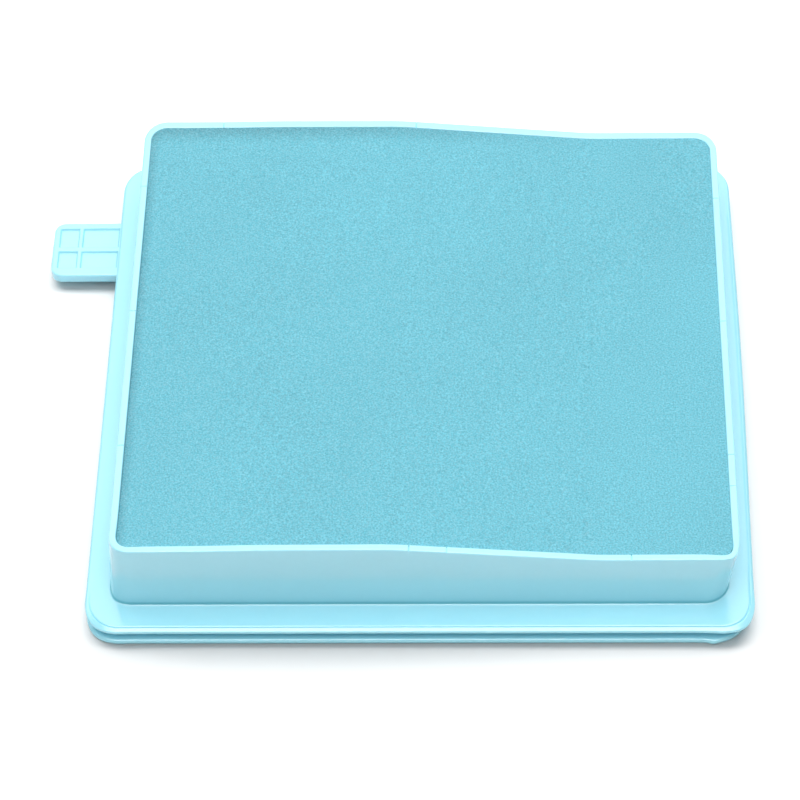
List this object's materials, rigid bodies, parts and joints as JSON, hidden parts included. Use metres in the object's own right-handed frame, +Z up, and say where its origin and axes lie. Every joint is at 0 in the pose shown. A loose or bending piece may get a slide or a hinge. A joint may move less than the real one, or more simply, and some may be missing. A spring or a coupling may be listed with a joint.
{
  "type": "vacuum cleaner filter cassette",
  "caption": "Soft rubber cassette with a double-lipped flange, a stepped rim and a finger pull tab, holding a foam pad over a pleated filter pack.",
  "frame": {"origin": "middle of the footprint's bounding box (flange and pull tab together), on the plane the lower lip rests on", "axes": "+X to the right, away from the pull tab; +Y to the rear, towards the side the tab is nearer to; +Z up, out through the foam"},
  "size_m": [0.1506, 0.125, 0.0238],
  "materials": {
    "frame_rubber": "smooth soft moulding, satin",
    "tab_rubber": "smooth soft moulding, satin",
    "grid_plastic": "moulded, matt",
    "gasket_rubber": "foam rubber, matt",
    "filter_paper": "fibrous, matt",
    "board": "pressed board, matt",
    "hot_melt": "glossy glue",
    "fleece": "needled fibre, matt",
    "foam": "fine open-cell foam, matt"
  },
  "bodies": {
    "frame": {"seal_frame": "frame_rubber", "support_grid": "grid_plastic"},
    "tab": {"pull_tab": "tab_rubber"},
    "pack": {"pack_seal": "gasket_rubber", "pleated_sheet": "filter_paper", "front_board": "board", "rear_board": "board", "left_board": "board", "right_board": "board", "upper_glue_threads": "hot_melt", "lower_glue_threads": "hot_melt"},
    "fleece": {"prefilter_fleece": "fleece"},
    "foam": {"foam_pad": "foam"}
  },
  "joints": [
    {"name": "tab_bend", "type": "hinge", "parent": "frame", "child": "tab", "pos_m": [-0.06199, 0.0382, 0.00305], "axis": [0, 1, 0], "range_deg": [-7, 75]},
    {"name": "pack_lift", "type": "slide", "parent": "frame", "child": "pack", "axis": [0, 0, 1], "range_m": [0, 0.03]},
    {"name": "fleece_lift", "type": "slide", "parent": "pack", "child": "fleece", "axis": [0, 0, 1], "range_m": [0, 0.02]},
    {"name": "foam_lift", "type": "slide", "parent": "fleece", "child": "foam", "axis": [0, 0, 1], "range_m": [0, 0.03]}
  ]
}
